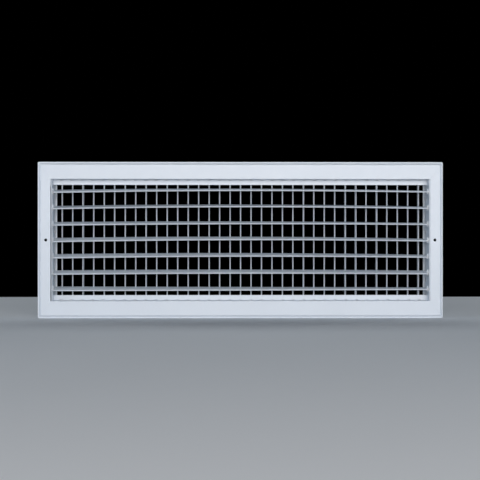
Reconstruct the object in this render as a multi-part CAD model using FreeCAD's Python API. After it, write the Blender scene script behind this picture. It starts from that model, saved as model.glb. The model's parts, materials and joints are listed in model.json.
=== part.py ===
"""Double-deflection air grille for a 24 x 8 inch duct, in millimetres.

X is the width, Z is up and Y runs into the duct, so the face looks along -Y.
The origin is the centre of the grille on the wall plane. An aluminium flange frame
carries two rows of separately adjustable blades: seven level blades in front,
pivoting about X, and thirty-five upright blades behind them, pivoting about Z.
"""
import FreeCAD, Part
import math
import os

Vec = FreeCAD.Vector

# Frame
FACE_X = 644.0            # overall width of the flange
FACE_Z = 248.0            # overall height of the flange
OPENING_X = 603.2         # clear opening inside the flange
OPENING_Z = 193.6
SHEET = 1.2               # sheet thickness of every formed part
FACE_RISE = 5.4           # the flange face stands this far off the wall
FACE_TO_REAR = 45.0       # flange face to the back of the neck
RIM_RISE = 2.4            # outer rim, a low step round the flange
RIM_WIDTH = 1.6
BEVEL_WIDTH = 3.2         # slope from the rim up to the face
THROAT_RADIUS = 0.6       # rounded edge between the face and the neck
CORNER_RADIUS = 2.0       # the flange's outer corners
SCREW_SPACING = 618.0
SCREW_HOLE_R = 2.4

# Side strips, which carry the front blades
STRIP_SETBACK = 1.2       # front edge of the strip behind the face
STRIP_LIP = 2.1           # rear edge turned towards the opening

# Rails, which carry the rear blades
RAIL_FRONT = 20.0         # front of the rail behind the face
RAIL_DEPTH = 23.2
RAIL_FRONT_LIP = 8.3
RAIL_REAR_LIP = 6.0
RAIL_CORNER_R = 0.6
NOTCH_WIDTH = 4.0         # relief over each bush, in the rail's front corner
NOTCH_DROP = 1.6
NOTCH_LENGTH = 3.4

# Front blades
FRONT_COUNT = 7
FRONT_PITCH = 25.9
FRONT_CHORD = 19.0
FRONT_NOSE = 2.2          # thickness at the rounded front edge
FRONT_TAIL = 1.0
FRONT_PIVOT = 11.0        # pivot line behind the face
FRONT_TILT = (10.5, 11.5, 11.0, 13.5, 13.5, 15.0, 11.5)   # nose down, top blade first

# Rear blades
REAR_COUNT = 35
REAR_PITCH = 16.93
REAR_CHORD = 17.0
REAR_NOSE = 2.0
REAR_TAIL = 1.0
REAR_PIVOT = 32.0
REAR_FAN = 7.5            # the end blades turn their noses this far inwards
REAR_OFFSETS = {3: -4.0, 6: -2.0, 9: -2.4, 24: 2.6, 28: 2.8, 29: 4.2, 31: 4.0, 35: 2.8}

# Pivots
PIN_R = 1.25
PIN_ROOT = 6.0            # length of the pin rolled into the blade's end
BORE_CLEARANCE = 0.05
END_GAP = 0.4             # play between a moving end and what it faces
FRONT_BUSH_R = 5.0
FRONT_BUSH_HEAD = 2.5
FRONT_HUB_R = 3.0
REAR_BUSH_R = 3.5
REAR_BUSH_HEAD = 1.5
REAR_HUB_R = 2.2

# Rivets, corner angles and seal
RIVET_R = 1.6
RIVET_HEAD_R = 3.2
RIVET_HEAD = 1.0
RIVET_TAIL_R = 2.3
RIVET_TAIL = 1.4
RIVET_CORE_R = 0.9
RAIL_RIVET_PITCHES = (-15.5, -5.5, 5.5, 15.5)   # in rear-blade pitches from the centre
STRIP_RIVET_PITCHES = (-2.5, 0.5, 2.5)          # in front-blade pitches from the centre
STRIP_RIVET_DEPTH = 31.0
ANGLE_LEG = 32.0
ANGLE_FRONT = 14.0        # the angle's front edge behind the face
ANGLE_DEPTH = 24.0
SEAL_WIDTH = 10.0
SEAL_FROM_EDGE_X = 6.5
SEAL_FROM_EDGE_Z = 8.0
SEAL_HOLE_R = 3.0

# Worked out from the above
FACE_Y = -FACE_RISE
REAR_Y = FACE_Y + FACE_TO_REAR
HALF_FACE_X = FACE_X / 2
HALF_FACE_Z = FACE_Z / 2
NECK_X = OPENING_X / 2
NECK_Z = OPENING_Z / 2
STRIP_INNER = NECK_X - SHEET
RAIL_INNER = NECK_Z - SHEET
FRONT_Y = FACE_Y + FRONT_PIVOT
REAR_PIVOT_Y = FACE_Y + REAR_PIVOT
BORE_R = PIN_R + BORE_CLEARANCE
SIDES = (("left", -1), ("right", 1))
LEVELS = (("top", 1), ("bottom", -1))


def box(x0, x1, y0, y1, z0, z1):
    """Box between two corners, given in any order."""
    low = Vec(min(x0, x1), min(y0, y1), min(z0, z1))
    return Part.makeBox(abs(x1 - x0), abs(y1 - y0), abs(z1 - z0), low)


def rod(radius, start, end):
    """Cylinder from one point to another."""
    run = end - start
    return Part.makeCylinder(radius, run.Length, start, run)


def prism(points, direction):
    """Solid swept from a flat outline along a vector."""
    wire = Part.makePolygon(points + [points[0]])
    return Part.Face(wire).extrude(direction)


def export(name, shape):
    """Write one sub-part, named after its node."""
    shape.exportStep("parts/" + name + ".step")


def front_zs():
    """Heights of the front blades' pivots, top blade first."""
    middle = (FRONT_COUNT - 1) / 2
    return [(middle - i) * FRONT_PITCH for i in range(FRONT_COUNT)]


def rear_xs():
    """Places of the rear blades' pivots across the width, left blade first."""
    middle = (REAR_COUNT - 1) / 2
    return [(i - middle) * REAR_PITCH for i in range(REAR_COUNT)]


def rear_angle(number, x):
    """Rest angle of a rear blade about +Z, in degrees."""
    end_x = rear_xs()[-1]
    return -REAR_FAN * x / end_x + REAR_OFFSETS.get(number, 0.0)


# Flange frame

def corners(inset, y):
    """Corners of a rectangle at depth y, inset from the flange's outer edge."""
    x = HALF_FACE_X - inset
    z = HALF_FACE_Z - inset
    return [Vec(-x, y, -z), Vec(x, y, -z), Vec(x, y, z), Vec(-x, y, z)]


def frustum(back, front):
    """Solid between two rectangles, with flat sloping sides."""
    sides = [[back[i], back[(i + 1) % 4], front[(i + 1) % 4], front[i]] for i in range(4)]
    faces = [Part.Face(Part.makePolygon(loop + [loop[0]])) for loop in [back, front] + sides]
    return Part.Solid(Part.Shell(faces))


def stepped_block(rim_inset, rim_y, foot_inset, top_inset, top_y):
    """Block with an upright rim, a ledge and a bevel rising to the face."""
    rim = frustum(corners(rim_inset, 0), corners(rim_inset, rim_y))
    bevel = frustum(corners(foot_inset, rim_y), corners(top_inset, top_y))
    return rim.fuse(bevel)


def flange_shell():
    """Flange skin: face, bevel, ledge and rim, hollow towards the wall."""
    top_inset = RIM_WIDTH + BEVEL_WIDTH
    rise = FACE_RISE - RIM_RISE
    slope = math.hypot(BEVEL_WIDTH, rise)
    shift = SHEET * (slope - BEVEL_WIDTH) / rise
    skin = stepped_block(0, -RIM_RISE, RIM_WIDTH, top_inset, FACE_Y)
    hollow = stepped_block(SHEET, SHEET - RIM_RISE, RIM_WIDTH + shift,
                           top_inset + shift, FACE_Y + SHEET)
    return skin.cut(hollow)


def round_throat(frame):
    """Round the edge where the face turns into the neck."""
    edges = []
    for edge in frame.Edges:
        bounds = edge.BoundBox
        flat = abs(bounds.YMin - FACE_Y) < 0.01 and abs(bounds.YMax - FACE_Y) < 0.01
        if flat and abs(bounds.XMax) < NECK_X + 0.1 and abs(bounds.ZMax) < NECK_Z + 0.1:
            edges.append(edge)
    return frame.makeFillet(THROAT_RADIUS, edges)


def round_corners(frame):
    """Round the rim at the flange's four corners."""
    edges = []
    for edge in frame.Edges:
        bounds = edge.BoundBox
        outer = abs(abs(bounds.XMin) - HALF_FACE_X) < 0.01 and abs(abs(bounds.ZMin) - HALF_FACE_Z) < 0.01
        if outer and bounds.YLength > RIM_RISE / 2:
            edges.append(edge)
    return frame.makeFillet(CORNER_RADIUS, edges)


def rivet_points():
    """Each rivet's point on the inner sheet and its outward direction."""
    rails = []
    for _, level in LEVELS:
        for pitches in RAIL_RIVET_PITCHES:
            point = Vec(pitches * REAR_PITCH, REAR_PIVOT_Y, level * RAIL_INNER)
            rails.append((point, Vec(0, 0, level)))
    strips = []
    for _, side in SIDES:
        for pitches in STRIP_RIVET_PITCHES:
            point = Vec(side * STRIP_INNER, FACE_Y + STRIP_RIVET_DEPTH, pitches * FRONT_PITCH)
            strips.append((point, Vec(side, 0, 0)))
    return rails, strips


def rivet_holes():
    """One cutter for every rivet hole, through both sheets."""
    rails, strips = rivet_points()
    reach = 3 * SHEET
    rods = [rod(RIVET_R, point - out * SHEET, point + out * reach) for point, out in rails + strips]
    return Part.makeCompound(rods)


def whole_frame():
    """Flange and neck in one, before the mitres."""
    neck = box(-NECK_X - SHEET, NECK_X + SHEET, FACE_Y, REAR_Y, -NECK_Z - SHEET, NECK_Z + SHEET)
    opening = box(-NECK_X, NECK_X, FACE_Y - 1, REAR_Y + 1, -NECK_Z, NECK_Z)
    frame = flange_shell().fuse(neck).cut(opening).removeSplitter()
    frame = round_corners(round_throat(frame))
    for _, side in SIDES:
        x = side * SCREW_SPACING / 2
        frame = frame.cut(rod(SCREW_HOLE_R, Vec(x, FACE_Y - 1, 0), Vec(x, 0, 0)))
    return frame.cut(rivet_holes())


def mitre_wedge(points_xz):
    """Cutter whose slanted sides follow the mitres."""
    points = [Vec(x, FACE_Y - 5, z) for x, z in points_xz]
    return prism(points, Vec(0, FACE_TO_REAR + 10, 0))


def frame_members():
    """Four members, each mitred from the flange's corner to the opening's."""
    slope = (HALF_FACE_Z - NECK_Z) / (HALF_FACE_X - NECK_X)
    spare = 5.0
    inner = (NECK_X - spare, NECK_Z - spare * slope)
    outer = (HALF_FACE_X + spare, HALF_FACE_Z + spare * slope)
    frame = whole_frame()
    for name, level in LEVELS:
        wedge = mitre_wedge([(-inner[0], level * inner[1]), (inner[0], level * inner[1]),
                             (outer[0], level * outer[1]), (-outer[0], level * outer[1])])
        export("frame_" + name, frame.common(wedge))
    for name, side in SIDES:
        wedge = mitre_wedge([(side * inner[0], -inner[1]), (side * inner[0], inner[1]),
                             (side * outer[0], outer[1]), (side * outer[0], -outer[1])])
        export("frame_" + name, frame.common(wedge))


def corner_angles():
    """Four angles that tie the neck's corners together, outside the neck."""
    y0 = FACE_Y + ANGLE_FRONT
    y1 = y0 + ANGLE_DEPTH
    angles = []
    for _, side in SIDES:
        for _, level in LEVELS:
            x = side * (NECK_X + SHEET)
            z = level * (NECK_Z + SHEET)
            x_out = x + side * SHEET
            z_out = z + level * SHEET
            flat = box(x_out - side * ANGLE_LEG, x_out, y0, y1, z, z_out)
            upright = box(x, x_out, y0, y1, z_out - level * ANGLE_LEG, z_out)
            angles.append(flat.fuse(upright).removeSplitter())
    export("corner_angles", Part.makeCompound(angles))


def seal():
    """Foam strip on the back of the flange, in four lengths, flush with the wall."""
    back = FACE_Y + SHEET
    x_out = HALF_FACE_X - SEAL_FROM_EDGE_X
    z_out = HALF_FACE_Z - SEAL_FROM_EDGE_Z
    z_in = z_out - SEAL_WIDTH
    lengths = []
    for _, level in LEVELS:
        lengths.append(box(-x_out, x_out, back, 0, level * z_in, level * z_out))
    for _, side in SIDES:
        x = side * SCREW_SPACING / 2
        strip = box(side * (x_out - SEAL_WIDTH), side * x_out, back, 0, -z_in, z_in)
        lengths.append(strip.cut(rod(SEAL_HOLE_R, Vec(x, back - 1, 0), Vec(x, 1, 0))))
    export("foam_seal", Part.makeCompound(lengths))


# Blade carriers

def side_strips():
    """Upright strips inside the neck, pierced for the front bushes."""
    y0 = FACE_Y + STRIP_SETBACK
    for name, side in SIDES:
        inner = side * STRIP_INNER
        outer = side * NECK_X
        strip = box(inner, outer, y0, REAR_Y, -NECK_Z, NECK_Z)
        lip = box(inner - side * STRIP_LIP, inner, REAR_Y - SHEET, REAR_Y, -NECK_Z, NECK_Z)
        strip = strip.fuse(lip).removeSplitter()
        bores = [rod(FRONT_HUB_R, Vec(inner - side, FRONT_Y, z), Vec(outer + side, FRONT_Y, z))
                 for z in front_zs()]
        strip = strip.cut(Part.makeCompound(bores)).cut(rivet_holes())
        export("side_strip_" + name, strip)


def rail_outline(level):
    """Channel section of a rail in the YZ plane, open towards the blades."""
    y0 = FACE_Y + RAIL_FRONT
    y1 = y0 + RAIL_DEPTH
    profile = [(y0, NECK_Z), (y1, NECK_Z), (y1, NECK_Z - RAIL_REAR_LIP),
               (y1 - SHEET, NECK_Z - RAIL_REAR_LIP), (y1 - SHEET, RAIL_INNER),
               (y0 + SHEET, RAIL_INNER), (y0 + SHEET, NECK_Z - RAIL_FRONT_LIP),
               (y0, NECK_Z - RAIL_FRONT_LIP)]
    return [Vec(-STRIP_INNER, y, level * z) for y, z in profile]


def rear_rails():
    """Channels across the top and bottom, pierced for the rear bushes."""
    y0 = FACE_Y + RAIL_FRONT
    for name, level in LEVELS:
        rail = prism(rail_outline(level), Vec(2 * STRIP_INNER, 0, 0))
        corner = [e for e in rail.Edges
                  if abs(e.BoundBox.YMin - y0) < 0.01 and abs(e.BoundBox.YMax - y0) < 0.01
                  and abs(e.BoundBox.ZMin - level * NECK_Z) < 0.01
                  and e.BoundBox.XLength > STRIP_INNER]
        rail = rail.makeFillet(RAIL_CORNER_R, corner)
        cutters = []
        for x in rear_xs():
            cutters.append(rod(REAR_HUB_R, Vec(x, REAR_PIVOT_Y, level * (RAIL_INNER - 1)),
                               Vec(x, REAR_PIVOT_Y, level * (NECK_Z + 1))))
            cutters.append(box(x - NOTCH_WIDTH / 2, x + NOTCH_WIDTH / 2, y0 - 1, y0 + NOTCH_LENGTH,
                               level * (NECK_Z - NOTCH_DROP), level * (NECK_Z + 1)))
        rail = rail.cut(Part.makeCompound(cutters)).cut(rivet_holes())
        export("rear_rail_" + name, rail)


# Bushes and rivets

def bush(point, out, head_r, head, hub_r):
    """Headed bush whose head stands inwards from point and whose hub fills the sheet."""
    body = rod(head_r, point - out * head, point).fuse(rod(hub_r, point, point + out * SHEET))
    return body.removeSplitter().cut(rod(BORE_R, point - out * (head + 1), point + out * (SHEET + 1)))


def bushes():
    """One bush for each end of each blade."""
    for name, side in SIDES:
        out = Vec(side, 0, 0)
        shapes = [bush(Vec(side * STRIP_INNER, FRONT_Y, z), out, FRONT_BUSH_R, FRONT_BUSH_HEAD,
                       FRONT_HUB_R) for z in front_zs()]
        export("front_bushes_" + name, Part.makeCompound(shapes))
    for name, level in LEVELS:
        out = Vec(0, 0, level)
        shapes = [bush(Vec(x, REAR_PIVOT_Y, level * RAIL_INNER), out, REAR_BUSH_R, REAR_BUSH_HEAD,
                       REAR_HUB_R) for x in rear_xs()]
        export("rear_bushes_" + name, Part.makeCompound(shapes))


def rivet(point, out):
    """Blind rivet: round head inside, shank through both sheets, tail outside."""
    head = rod(RIVET_HEAD_R, point - out * RIVET_HEAD, point)
    rim = [e for e in head.Edges if e.Closed and (e.Curve.Center - point).Length > RIVET_HEAD / 2]
    head = head.makeFillet(RIVET_HEAD * 0.7, rim)
    sheets = point + out * (2 * SHEET)
    shank = rod(RIVET_R, point, sheets)
    tail = rod(RIVET_TAIL_R, sheets, sheets + out * RIVET_TAIL)
    core = rod(RIVET_CORE_R, point - out * (RIVET_HEAD + 1), point)
    return head.fuse([shank, tail]).cut(core)


def rivets():
    """Rivets that hold the rails and the strips to the neck."""
    rails, strips = rivet_points()
    export("rail_rivets", Part.makeCompound([rivet(point, out) for point, out in rails]))
    export("strip_rivets", Part.makeCompound([rivet(point, out) for point, out in strips]))


# Blades

def blade_section(chord, nose, tail):
    """Teardrop outline in the XY plane, nose towards -Y, pivot at the origin."""
    nose_r = nose / 2
    tail_r = tail / 2
    nose_y = -chord / 2 + nose_r
    tail_y = chord / 2 - tail_r
    lean = math.asin((nose_r - tail_r) / (tail_y - nose_y))
    nose_x, nose_up = nose_r * math.cos(lean), nose_r * math.sin(lean)
    tail_x, tail_up = tail_r * math.cos(lean), tail_r * math.sin(lean)
    nose_left, nose_right = Vec(-nose_x, nose_y + nose_up, 0), Vec(nose_x, nose_y + nose_up, 0)
    tail_left, tail_right = Vec(-tail_x, tail_y + tail_up, 0), Vec(tail_x, tail_y + tail_up, 0)
    edges = [Part.Arc(nose_left, Vec(0, -chord / 2, 0), nose_right).toShape(),
             Part.makeLine(nose_right, tail_right),
             Part.Arc(tail_right, Vec(0, chord / 2, 0), tail_left).toShape(),
             Part.makeLine(tail_left, nose_left)]
    return Part.Face(Part.Wire(edges))


def upright_blade(chord, nose, tail, half_length, half_pins):
    """Blade standing along Z with a pivot pin rolled into each end."""
    blade = blade_section(chord, nose, tail).extrude(Vec(0, 0, 2 * half_length))
    blade.translate(Vec(0, 0, -half_length))
    for _, level in LEVELS:
        root = Vec(0, 0, level * (half_length - PIN_ROOT))
        blade = blade.fuse(rod(PIN_R, root, Vec(0, 0, level * half_pins)))
    return blade.removeSplitter()


def front_blades():
    """Level blades, each tilted nose down to its own setting."""
    half_length = STRIP_INNER - FRONT_BUSH_HEAD - END_GAP
    blade = upright_blade(FRONT_CHORD, FRONT_NOSE, FRONT_TAIL, half_length, NECK_X - END_GAP)
    blade.rotate(Vec(0, 0, 0), Vec(0, 1, 0), 90)
    for i, z in enumerate(front_zs()):
        placed = blade.copy()
        placed.rotate(Vec(0, 0, 0), Vec(1, 0, 0), FRONT_TILT[i])
        placed.translate(Vec(0, FRONT_Y, z))
        export("front_blade_%d" % (i + 1), placed)


def rear_blades():
    """Upright blades, fanned so that they all face one point ahead of the grille."""
    half_length = RAIL_INNER - REAR_BUSH_HEAD - END_GAP
    blade = upright_blade(REAR_CHORD, REAR_NOSE, REAR_TAIL, half_length, NECK_Z - END_GAP)
    for i, x in enumerate(rear_xs()):
        placed = blade.copy()
        placed.rotate(Vec(0, 0, 0), Vec(0, 0, 1), rear_angle(i + 1, x))
        placed.translate(Vec(x, REAR_PIVOT_Y, 0))
        export("rear_blade_%02d" % (i + 1), placed)


os.makedirs("parts", exist_ok=True)
frame_members()
corner_angles()
seal()
side_strips()
rear_rails()
bushes()
rivets()
front_blades()
rear_blades()
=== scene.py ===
"""Studio scene for the louvred air grille: powder-coated frame and blades on a pale floor."""

import bmesh
import bpy
import json
import math
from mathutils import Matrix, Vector


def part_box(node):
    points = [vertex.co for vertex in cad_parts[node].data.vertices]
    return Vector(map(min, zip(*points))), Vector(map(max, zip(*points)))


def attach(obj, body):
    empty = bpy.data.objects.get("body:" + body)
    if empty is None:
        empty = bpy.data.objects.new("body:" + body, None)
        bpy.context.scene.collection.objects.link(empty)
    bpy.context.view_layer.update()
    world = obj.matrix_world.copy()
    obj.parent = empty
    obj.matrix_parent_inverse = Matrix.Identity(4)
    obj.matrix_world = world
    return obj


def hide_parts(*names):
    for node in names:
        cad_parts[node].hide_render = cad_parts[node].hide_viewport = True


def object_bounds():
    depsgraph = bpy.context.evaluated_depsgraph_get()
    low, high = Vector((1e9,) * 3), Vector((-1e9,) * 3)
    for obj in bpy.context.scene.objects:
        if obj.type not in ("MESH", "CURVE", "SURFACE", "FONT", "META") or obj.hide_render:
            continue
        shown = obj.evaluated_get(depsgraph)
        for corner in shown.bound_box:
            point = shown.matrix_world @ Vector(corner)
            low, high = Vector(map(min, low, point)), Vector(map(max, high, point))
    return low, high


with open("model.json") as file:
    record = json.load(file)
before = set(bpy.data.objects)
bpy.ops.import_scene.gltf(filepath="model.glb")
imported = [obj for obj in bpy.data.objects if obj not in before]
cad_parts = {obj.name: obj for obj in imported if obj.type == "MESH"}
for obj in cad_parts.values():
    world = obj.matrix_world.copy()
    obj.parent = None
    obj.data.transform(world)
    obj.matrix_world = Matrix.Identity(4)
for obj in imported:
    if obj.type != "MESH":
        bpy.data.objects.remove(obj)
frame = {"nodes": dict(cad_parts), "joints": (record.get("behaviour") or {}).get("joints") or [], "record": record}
cad_low, cad_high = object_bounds()
nodes = frame["nodes"]
joints = {joint["child"]: joint for joint in frame["joints"]}


# ---------------------------------------------------------------- node helpers

class Graph:
    """A small helper for building one shader node tree."""

    def __init__(self, name):
        self.material = bpy.data.materials.new(name)
        self.material.use_nodes = True
        self.tree = self.material.node_tree
        self.shader = self.tree.nodes["Principled BSDF"]
        self.position = self.node("ShaderNodeNewGeometry").outputs["Position"]

    def node(self, kind, **settings):
        made = self.tree.nodes.new(kind)
        for key, value in settings.items():
            setattr(made, key, value)
        return made

    def join(self, source, target):
        self.tree.links.new(source, target)

    def feed(self, socket, value):
        """Link a socket's value, or store a plain one."""
        if hasattr(value, "links"):
            self.join(value, socket)
        else:
            socket.default_value = value

    def noise(self, scale, detail=2.0, rough=0.5, stretch=None):
        """Noise over the object, its scale in features per metre."""
        where = self.position
        if stretch:
            mapping = self.node("ShaderNodeMapping")
            mapping.inputs["Scale"].default_value = stretch
            self.join(where, mapping.inputs["Vector"])
            where = mapping.outputs["Vector"]
        made = self.node("ShaderNodeTexNoise")
        self.join(where, made.inputs["Vector"])
        made.inputs["Scale"].default_value = scale
        made.inputs["Detail"].default_value = detail
        made.inputs["Roughness"].default_value = rough
        return made.outputs["Fac"]

    def cells(self, scale):
        """Distance to the nearest of many scattered points."""
        made = self.node("ShaderNodeTexVoronoi")
        self.join(self.position, made.inputs["Vector"])
        made.inputs["Scale"].default_value = scale
        return made.outputs["Distance"]

    def remap(self, value, low, high, to_low, to_high):
        made = self.node("ShaderNodeMapRange")
        self.feed(made.inputs["Value"], value)
        made.inputs["From Min"].default_value = low
        made.inputs["From Max"].default_value = high
        made.inputs["To Min"].default_value = to_low
        made.inputs["To Max"].default_value = to_high
        return made.outputs["Result"]

    def math(self, operation, a, b):
        made = self.node("ShaderNodeMath", operation=operation)
        self.feed(made.inputs[0], a)
        self.feed(made.inputs[1], b)
        return made.outputs["Value"]

    def mix(self, factor, a, b):
        made = self.node("ShaderNodeMix", data_type="RGBA")
        self.feed(made.inputs["Factor"], factor)
        self.feed(made.inputs["A"], a)
        self.feed(made.inputs["B"], b)
        return made.outputs["Result"]

    def crevice(self, reach):
        """0 in the open, 1 deep in a corner within reach metres."""
        made = self.node("ShaderNodeAmbientOcclusion", samples=8)
        made.inputs["Distance"].default_value = reach
        return self.remap(made.outputs["AO"], 0.35, 0.95, 1.0, 0.0)

    def edge(self, radius):
        """1 along sharp edges, 0 on flats, from how far a rounded normal leaves the true one."""
        rounded = self.node("ShaderNodeBevel", samples=4)
        rounded.inputs["Radius"].default_value = radius
        true = self.node("ShaderNodeNewGeometry")
        dot = self.node("ShaderNodeVectorMath", operation="DOT_PRODUCT")
        self.join(rounded.outputs["Normal"], dot.inputs[0])
        self.join(true.outputs["Normal"], dot.inputs[1])
        return self.remap(dot.outputs["Value"], 0.97, 0.80, 0.0, 1.0)

    def bump(self, height, strength, distance, under=None):
        made = self.node("ShaderNodeBump")
        made.inputs["Strength"].default_value = strength
        made.inputs["Distance"].default_value = distance
        self.join(height, made.inputs["Height"])
        if under:
            self.join(under, made.inputs["Normal"])
        return made.outputs["Normal"]

    def finish(self, color, roughness, normal):
        self.feed(self.shader.inputs["Base Color"], color)
        self.feed(self.shader.inputs["Roughness"], roughness)
        self.feed(self.shader.inputs["Normal"], normal)
        return self.material


def tint(color, factor):
    """A colour made lighter or darker."""
    return tuple(min(1.0, c * factor) for c in color[:3]) + (1.0,)


# ---------------------------------------------------------------- materials

WHITE = (0.765, 0.815, 0.875)
FRONT_PAINTED_SHADE = 0.84        # painted shade: blade paint darker than the frame's, not seen on the real blades, but a correction that brings the blades' thin lines nearer to their brightness in the photo
REAR_PAINTED_SHADE = 0.67         # brings the blades' thin lines nearer to their brightness in the photo
CORNER_PAINTED_SHADE = 0.10               # how much painted shade darkens the corners


def powder_coat(name, color, roughness=0.42):
    """Satin white powder coat: orange peel, faint patches, thin paint on edges, painted shade in corners."""
    g = Graph(name)
    patches = g.noise(9.0, detail=4.0)
    shade = g.mix(g.remap(patches, 0.3, 0.7, 0.0, 1.0), tint(color, 0.975), tint(color, 1.01))
    specks = g.remap(g.noise(900.0, detail=1.0), 0.66, 0.74, 0.0, 0.25)
    shade = g.mix(specks, shade, tint(color, 0.90))
    wear = g.remap(g.noise(60.0, detail=3.0), 0.35, 0.75, 0.1, 0.8)
    edges = g.math("MULTIPLY", g.edge(0.0005), wear)
    shade = g.mix(g.math("MULTIPLY", edges, 0.5), shade, (0.74, 0.77, 0.80, 1.0))
    # painted shade: the coat darkened towards grey in corners and recesses, from ambient occlusion
    painted_corner_shade = g.math("MULTIPLY", g.crevice(0.006), CORNER_PAINTED_SHADE)
    shade = g.mix(painted_corner_shade, shade, (0.30, 0.32, 0.34, 1.0))
    rough = g.remap(g.noise(140.0, detail=3.0), 0.3, 0.7, roughness - 0.05, roughness + 0.06)
    rounded = g.node("ShaderNodeBevel", samples=4)
    rounded.inputs["Radius"].default_value = 0.0004
    peel = g.bump(g.noise(750.0, detail=2.0, rough=0.4), 0.22, 0.0002, rounded.outputs["Normal"])
    grain = g.bump(g.noise(4200.0, detail=1.0), 0.08, 0.00005, peel)
    g.shader.inputs["Specular IOR Level"].default_value = 0.5
    g.shader.inputs["Coat Weight"].default_value = 0.12
    g.shader.inputs["Coat Roughness"].default_value = 0.25
    return g.finish(shade, rough, grain)


def nylon(name, color):
    """Moulded natural nylon: slightly waxy, with faint flow marks."""
    g = Graph(name)
    shade = g.mix(g.noise(120.0, detail=3.0), tint(color, 0.95), tint(color, 1.02))
    # painted shade: the nylon darkened towards grey in corners, from ambient occlusion
    shade = g.mix(g.math("MULTIPLY", g.crevice(0.003), 0.35), shade, (0.35, 0.34, 0.31, 1.0))
    rough = g.remap(g.noise(800.0), 0.3, 0.7, 0.42, 0.56)
    g.shader.inputs["Subsurface Weight"].default_value = 0.15
    g.shader.inputs["Subsurface Radius"].default_value = (0.0015, 0.0012, 0.0010)
    return g.finish(shade, rough, g.bump(g.noise(1500.0, detail=1.0), 0.12, 0.0001))


def bare_metal(name, color, roughness, scale):
    """Plain metal with fine scratches and a dull skin."""
    g = Graph(name)
    g.shader.inputs["Metallic"].default_value = 1.0
    shade = g.mix(g.noise(scale, detail=5.0), tint(color, 0.86), tint(color, 1.04))
    scratches = g.noise(300.0, detail=2.0, stretch=(1.0, 12.0, 12.0))
    rough = g.remap(scratches, 0.3, 0.7, roughness - 0.08, roughness + 0.10)
    return g.finish(shade, rough, g.bump(scratches, 0.15, 0.0001))


def galvanised(name):
    """Hot-dipped zinc with its spangle of crystals."""
    g = Graph(name)
    g.shader.inputs["Metallic"].default_value = 0.9
    crystals = g.node("ShaderNodeTexVoronoi")
    g.join(g.position, crystals.inputs["Vector"])
    crystals.inputs["Scale"].default_value = 320.0
    grey = g.node("ShaderNodeSeparateColor")
    g.join(crystals.outputs["Color"], grey.inputs["Color"])
    spangle = grey.outputs["Red"]
    shade = g.mix(spangle, (0.56, 0.59, 0.62, 1.0), (0.68, 0.70, 0.73, 1.0))
    rough = g.remap(spangle, 0.0, 1.0, 0.34, 0.55)
    return g.finish(shade, rough, g.bump(g.noise(500.0, detail=3.0), 0.10, 0.0001))


def foam(name):
    """Closed-cell foam: charcoal, pitted with fine cells."""
    g = Graph(name)
    pits = g.cells(900.0)
    depth = g.remap(pits, 0.1, 0.6, 0.0, 1.0)
    # painted shade: the foam darker towards the bottom of each cell's pit
    shade = g.mix(depth, (0.018, 0.018, 0.020, 1.0), (0.055, 0.055, 0.060, 1.0))
    return g.finish(shade, 0.9, g.bump(pits, 0.6, 0.0004))


def floor_material():
    """Matt pale floor with the faintest mottling."""
    g = Graph("studio_floor")
    shade = g.mix(g.noise(3.0, detail=5.0), (0.78, 0.79, 0.80, 1.0), (0.82, 0.83, 0.84, 1.0))
    rough = g.remap(g.noise(25.0, detail=4.0), 0.3, 0.7, 0.78, 0.88)
    g.shader.inputs["Specular IOR Level"].default_value = 0.15
    return g.finish(shade, rough, g.bump(g.noise(220.0, detail=3.0), 0.05, 0.0004))


def paint(node, material):
    """Give every slot of a CAD node one material."""
    mesh = node.data
    mesh.materials.clear()
    mesh.materials.append(material)


finishes = {
    "frame_paint": powder_coat("frame_coat", WHITE),
    "strip_paint": powder_coat("strip_coat", WHITE),
    # painted shade: the blade coats are darker copies of the frame's white
    "front_blade_paint": powder_coat("front_blade_coat", tint(WHITE, FRONT_PAINTED_SHADE)),
    "rear_blade_paint": powder_coat("rear_blade_coat_painted_shade", tint(WHITE, REAR_PAINTED_SHADE), roughness=0.40),
    "bush_nylon": nylon("bush_nylon", (0.80, 0.84, 0.88)),
    "rivet_aluminium": bare_metal("rivet_aluminium", (0.78, 0.79, 0.80), 0.36, 150.0),
    "galvanised_steel": galvanised("galvanised_steel"),
    "seal_foam": foam("seal_foam"),
}
slot_of = {part["node"]: part["material_slot"] for part in frame["record"]["subparts"]}
for name, node in nodes.items():
    paint(node, finishes[slot_of[name]])


# ---------------------------------------------------------------- pieces built in mesh code

def add_tube(bm, sections):
    """Closed skin over a run of equal loops of points."""
    loops = [[bm.verts.new(point) for point in section] for section in sections]
    count = len(loops[0])
    for before, after in zip(loops, loops[1:]):
        for i in range(count):
            j = (i + 1) % count
            bm.faces.new((before[i], before[j], after[j], after[i]))
    bm.faces.new(list(reversed(loops[0])))
    bm.faces.new(loops[-1])


def finish_skin(bm, name, body, slot):
    """Turn a built mesh into the piece that stands in for a CAD node."""
    bmesh.ops.recalc_face_normals(bm, faces=bm.faces)
    mesh = bpy.data.meshes.new(name + "_skin")
    bm.to_mesh(mesh)
    bm.free()
    for face in mesh.polygons:
        face.use_smooth = True
    mesh.set_sharp_from_angle(angle=math.radians(40))
    skin = bpy.data.objects.new(name + "_skin", mesh)
    bpy.context.scene.collection.objects.link(skin)
    mesh.materials.append(finishes[slot])
    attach(skin, body)
    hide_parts(name)


# ---------------------------------------------------------------- front blades

CHORD = 0.0190            # width of a front blade, nose to tail
NOSE = 0.0022             # thickness at the rounded nose
TAIL = 0.0010             # thickness at the tail
PIN_RADIUS = 0.00125
PIN_SHOWS = 0.0037        # how far a pin stands out of the blade's end
PIN_ROOT = 0.001          # how far it reaches into the blade
PIN_SIDES = 20
BLADE_STEPS = 60          # sections along a blade
FRONT_BLADES = range(1, 8)
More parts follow.
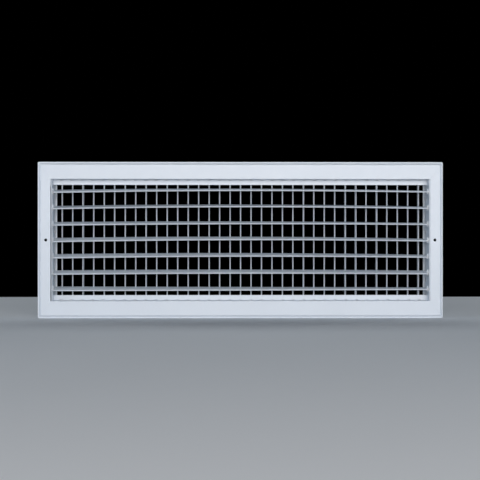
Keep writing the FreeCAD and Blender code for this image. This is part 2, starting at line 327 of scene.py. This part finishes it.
# One value for each blade, top blade first
BOW = (0.0027, 0.0030, 0.0018, 0.0027, 0.0023, 0.0014, 0.0)    # rise at mid span
TWIST = (2.9, 2.3, 3.9, 3.9, 3.5, 1.5, 5.5)    # degrees steeper at the left end, flatter at the right


def arc(centre, radius, start, end, steps):
    """Points (y, z) along an arc, angles in degrees."""
    points = []
    for i in range(steps + 1):
        angle = math.radians(start + (end - start) * i / steps)
        points.append((centre + radius * math.cos(angle), radius * math.sin(angle)))
    return points


def blade_outline():
    """Teardrop section in Y and Z, nose towards -Y, pivot at the origin."""
    nose_y = -CHORD / 2 + NOSE / 2
    tail_y = CHORD / 2 - TAIL / 2
    lean = math.degrees(math.asin((NOSE - TAIL) / 2 / (tail_y - nose_y)))
    nose = arc(nose_y, NOSE / 2, 90 - lean, 270 + lean, 12)
    tail = arc(tail_y, TAIL / 2, -90 + lean, 90 - lean, 6)
    return nose + tail


def rest_tilt(name):
    """Rest angle of a blade, from its joint's limits, which are even about level."""
    low, high = joints[name]["range_deg"]
    return -(low + high) / 2


def front_blade(number):
    """A front blade as the photo shows it: bowed at mid span and twisted between its ends."""
    name = "front_blade_%d" % number
    low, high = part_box(name)
    pivot = joints[name]["pos_m"]
    tilt = rest_tilt(name)
    half = high.x - PIN_SHOWS
    outline = blade_outline()
    sections = []
    for i in range(BLADE_STEPS + 1):
        share = -1 + 2 * i / BLADE_STEPS
        angle = math.radians(tilt - TWIST[number - 1] * share)
        rise = BOW[number - 1] * (1 - share * share)
        cos, sin = math.cos(angle), math.sin(angle)
        turned = [(y * cos - z * sin, y * sin + z * cos) for y, z in outline]
        sections.append([(share * half, pivot[1] + y, pivot[2] + rise + z) for y, z in turned])
    bm = bmesh.new()
    add_tube(bm, sections)
    for side, end in ((-1, low.x), (1, high.x)):
        angles = [side * 2 * math.pi * i / PIN_SIDES for i in range(PIN_SIDES)]
        ring = [(PIN_RADIUS * math.cos(a), PIN_RADIUS * math.sin(a)) for a in angles]
        root = side * (half - PIN_ROOT)
        add_tube(bm, [[(x, pivot[1] + y, pivot[2] + z) for y, z in ring] for x in (root, end)])
    finish_skin(bm, name, name, "front_blade_paint")


# ---------------------------------------------------------------- left side strip

SHEET = 0.0012            # thickness of the side strips
BEND = 0.0018             # outer radius of the bend into their rear lip
STRIP_STEPS = 48          # sections along a strip
FLANK_STEPS = 10          # points from its front edge back to the rivets
RIVET_LINE = 0.030        # behind this depth a strip is held tight to the neck
STANDOFF = 0.0016         # how far the left strip's front edge springs off the neck
SPRING_RUN = 0.025        # the spring grows over this length from the strip's top end


def quarter(centre, radius, steps):
    """Points of the quarter circle that runs from a centre's left side to its rear side."""
    angles = [math.radians(90 * i / steps) for i in range(steps + 1)]
    return [(centre[0] - radius * math.cos(a), centre[1] + radius * math.sin(a)) for a in angles]


def strip_outline(low, high, spring):
    """L-shaped section in X and Y of the left strip, its front edge sprung inwards."""
    outer = [(low.x + spring * (1 - i / FLANK_STEPS), low.y + RIVET_LINE * i / FLANK_STEPS)
             for i in range(FLANK_STEPS + 1)]
    inner = [(x + SHEET, y) for x, y in reversed(outer)]
    centre = (low.x + BEND, high.y - BEND)
    lip = [(high.x, high.y), (high.x, high.y - SHEET)]
    root = quarter(centre, BEND - SHEET, 4)
    return outer + quarter(centre, BEND, 6) + lip + root[::-1] + inner


def left_strip():
    """The left side strip as the photo shows it: held at its rivets, sprung off the neck in front.

    Its bores and rivet holes are left out, so the bushes, pins and rivets run through solid sheet.
    """
    name = "side_strip_left"
    low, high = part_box(name)
    sections = []
    for i in range(STRIP_STEPS + 1):
        z = high.z + (low.z - high.z) * i / STRIP_STEPS
        share = min(1.0, (high.z - z) / SPRING_RUN)
        outline = strip_outline(low, high, STANDOFF * share * share * (3 - 2 * share))
        sections.append([(x, y, z) for x, y in outline])
    bm = bmesh.new()
    add_tube(bm, sections)
    finish_skin(bm, name, "frame", "strip_paint")


for number in FRONT_BLADES:
    front_blade(number)
left_strip()


# ---------------------------------------------------------------- studio

FLOOR_SIDE = 2.2          # how far the floor reaches to either side
FLOOR_FRONT = -3.0
FLOOR_BEHIND = 0.55       # and behind the grille


def make_floor():
    """Pale floor under the flange's lower edge, cut short behind the grille."""
    z = cad_low.z
    rear = cad_high.y + FLOOR_BEHIND
    mesh = bpy.data.meshes.new("studio_floor")
    corners = [(-FLOOR_SIDE, FLOOR_FRONT, z), (FLOOR_SIDE, FLOOR_FRONT, z),
               (FLOOR_SIDE, rear, z), (-FLOOR_SIDE, rear, z)]
    mesh.from_pydata(corners, [], [(0, 1, 2, 3)])
    floor = bpy.data.objects.new("studio_floor", mesh)
    bpy.context.scene.collection.objects.link(floor)
    mesh.materials.append(floor_material())


def aim(thing, target):
    """Point an object's -Z at a target."""
    thing.rotation_euler = (target - thing.location).to_track_quat("-Z", "Y").to_euler()


def softbox(name, place, size, power, color):
    """Rectangular soft light aimed at the grille and not seen itself."""
    light = bpy.data.lights.new(name, "AREA")
    light.shape = "RECTANGLE"
    light.size, light.size_y = size
    light.energy = power
    light.color = color
    lamp = bpy.data.objects.new(name, light)
    bpy.context.scene.collection.objects.link(lamp)
    lamp.location = Vector(place)
    lamp.visible_camera = False
    aim(lamp, Vector((0, 0, 0)))


# Name, place, size, power in watts, colour
LIGHTS = (
    ("front", (0.28, -2.6, 0.33), (2.2, 0.9), 43.0, (1.0, 0.96, 0.935)),
    ("left", (-2.2, -1.2, 0.5), (1.0, 1.2), 15.0, (0.64, 0.81, 1.0)),
    ("right", (2.2, -1.2, 0.5), (1.0, 1.2), 9.0, (0.40, 0.68, 1.0)),
    ("rear_left", (-2.4, 1.3, 0.45), (0.9, 0.9), 12.0, (0.9, 0.95, 1.0)),
    ("rear_right", (2.4, 1.3, 0.45), (0.9, 0.9), 12.0, (0.9, 0.95, 1.0)),
    ("top_rear", (0.0, 1.5, 2.2), (2.0, 0.8), 12.0, (0.85, 0.93, 1.0)),
)


def make_lights():
    """Every lamp of the studio."""
    for name, place, size, power, color in LIGHTS:
        softbox(name, place, size, power, color)


def make_world():
    """Black all round, so that only the lamps light the grille."""
    world = bpy.data.worlds.new("studio")
    bpy.context.scene.world = world
    world.use_nodes = True
    background = world.node_tree.nodes["Background"]
    background.inputs["Color"].default_value = (0.0, 0.0, 0.0, 1.0)
    background.inputs["Strength"].default_value = 0.0


SENSOR = 36.0             # millimetres, as is the focal length
FOCAL_LENGTH = 75.6
DISTANCE = 1.600          # camera to the flange face
CAMERA_SIDE = -0.020      # the camera stands a little left of the middle
AIM_SIDE = -0.0012        # and looks at a point a hair left of it


def make_camera():
    """Camera almost square on to the face, at the photo's viewing angle."""
    lens = bpy.data.cameras.new("camera")
    lens.sensor_width = SENSOR
    lens.lens = FOCAL_LENGTH
    lens.clip_start, lens.clip_end = 0.05, 50.0
    camera = bpy.data.objects.new("camera", lens)
    bpy.context.scene.collection.objects.link(camera)
    camera.location = Vector((CAMERA_SIDE, cad_low.y - DISTANCE, 0))
    aim(camera, Vector((AIM_SIDE, cad_low.y, 0)))
    bpy.context.scene.camera = camera


make_floor()
make_lights()
make_world()
make_camera()
bpy.context.scene.view_settings.view_transform = "Standard"
